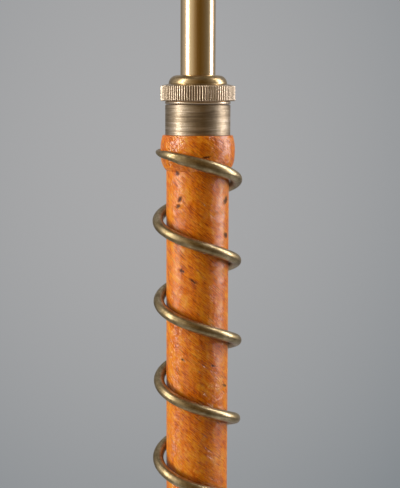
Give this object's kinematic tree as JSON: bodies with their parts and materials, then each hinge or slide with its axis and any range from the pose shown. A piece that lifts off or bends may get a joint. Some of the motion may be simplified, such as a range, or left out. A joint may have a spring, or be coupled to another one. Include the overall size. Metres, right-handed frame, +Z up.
{
  "type": "candlestick floor lamp",
  "caption": "Floor lamp: round weighted foot, wooden stem wound with a brass rod, brass tube that slides and turns in a knurled clamp, lamp holder and conical shade.",
  "frame": {"origin": "on the floor, under the middle of the stem", "axes": "+Z up along the stem; +X to the switch key's side; the lead's inlet faces +Y"},
  "size_m": [0.4017, 0.4018, 1.5074],
  "materials": {
    "felt": "matte",
    "iron": "matte",
    "spun_brass": "satin",
    "bush_plastic": "satin",
    "steel": "satin",
    "turned_brass": "satin",
    "lacquered_beech": "gloss",
    "rod_brass": "satin",
    "collet_brass": "satin",
    "nut_brass": "satin",
    "tube_brass": "gloss",
    "fibre": "matte",
    "holder_brass": "satin",
    "porcelain": "gloss",
    "contact_brass": "satin",
    "key_plastic": "gloss",
    "carrier_paint": "satin",
    "shade_linen": "matte",
    "shade_tape": "matte",
    "cap_metal": "satin",
    "solder": "satin",
    "opal_glass": "satin"
  },
  "bodies": {
    "stand": {"floor_felt": "felt", "base_weight": "iron", "base_cover": "spun_brass", "lead_bush": "bush_plastic", "foot_washer": "steel", "foot_nut": "steel", "foot_socket": "turned_brass", "stem": "lacquered_beech", "spiral_rod": "rod_brass", "stem_ferrule": "turned_brass", "clamp_collet": "collet_brass"},
    "nut": {"clamp_nut": "nut_brass"},
    "guide": {"tube_guide": "fibre"},
    "riser": {"riser_tube": "tube_brass", "tube_plug": "turned_brass", "holder_nipple": "steel", "lock_ring": "turned_brass", "holder_cap": "holder_brass", "holder_shell": "holder_brass", "holder_insulator": "porcelain", "thread_shell": "contact_brass", "holder_rim": "porcelain", "contact_tongue": "contact_brass", "shade_seat_ring": "holder_brass", "bulb_cap": "cap_metal", "bulb_tip": "solder", "bulb_glass": "opal_glass"},
    "switch": {"switch_spindle": "steel", "switch_key": "key_plastic"},
    "shade": {"shade_carrier": "carrier_paint", "shade_lower_wire": "carrier_paint", "shade_cover": "shade_linen", "shade_trim_lower": "shade_tape", "shade_trim_upper": "shade_tape"},
    "ring_nut": {"shade_nut_ring": "holder_brass"}
  },
  "joints": [
    {"name": "nut_turn", "type": "hinge", "parent": "stand", "child": "nut", "pos_m": [0, 0, 1.012], "axis": [0, 0, 1], "range_deg": [0, 360]},
    {"name": "height_slide", "type": "slide", "parent": "stand", "child": "guide", "axis": [0, 0, 1], "range_m": [-0.285, 0.255]},
    {"name": "riser_swivel", "type": "hinge", "parent": "guide", "child": "riser", "pos_m": [0, 0, 0.6318], "axis": [0, 0, 1], "continuous": true},
    {"name": "switch_turn", "type": "hinge", "parent": "riser", "child": "switch", "pos_m": [0.0195, 0, 1.3428], "axis": [1, 0, 0], "continuous": true},
    {"name": "shade_turn", "type": "hinge", "parent": "riser", "child": "shade", "pos_m": [0, 0, 1.3618], "axis": [0, 0, 1], "continuous": true},
    {"name": "ring_nut_turn", "type": "hinge", "parent": "riser", "child": "ring_nut", "pos_m": [0, 0, 1.3634], "axis": [0, 0, 1], "range_deg": [0, 360]}
  ]
}
